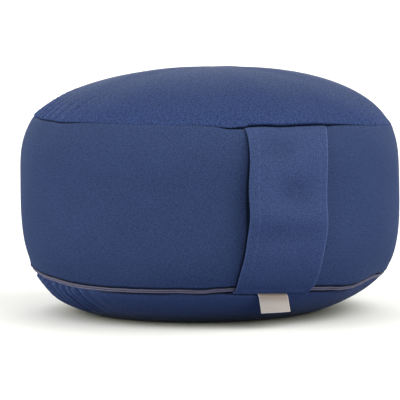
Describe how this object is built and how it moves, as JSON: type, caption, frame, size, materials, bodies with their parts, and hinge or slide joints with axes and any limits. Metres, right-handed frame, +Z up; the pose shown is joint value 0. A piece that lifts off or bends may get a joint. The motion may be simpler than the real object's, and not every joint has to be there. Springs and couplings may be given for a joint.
{
  "type": "zafu meditation cushion",
  "caption": "Firm round filled floor cushion with a side band, gathered top and bottom panels, a zip in the lower seam and a wide cloth handle strap.",
  "frame": {"origin": "on the floor under the middle of the round cushion, on the flat that it rests on", "axes": "+Z up along the cushion's axis, -Y towards the handle strap"},
  "size_m": [0.3399, 0.3525, 0.217],
  "materials": {
    "band_cloth": "plain-woven blue cotton, matt",
    "panel_cloth": "plain-woven blue cotton, matt, gathered at the seams",
    "strap_cloth": "plain-woven blue cotton, folded double",
    "zip_tape": "grey-mauve nylon coil and tape, slight sheen",
    "label_ribbon": "taupe woven ribbon with lighter edges, bare"
  },
  "bodies": {
    "root": {"cushion_body": "band_cloth", "top_panel": "panel_cloth", "bottom_panel": "panel_cloth", "handle_strap": "strap_cloth", "zip_upper": "zip_tape", "zip_lower": "zip_tape", "label": "label_ribbon"}
  },
  "joints": []
}
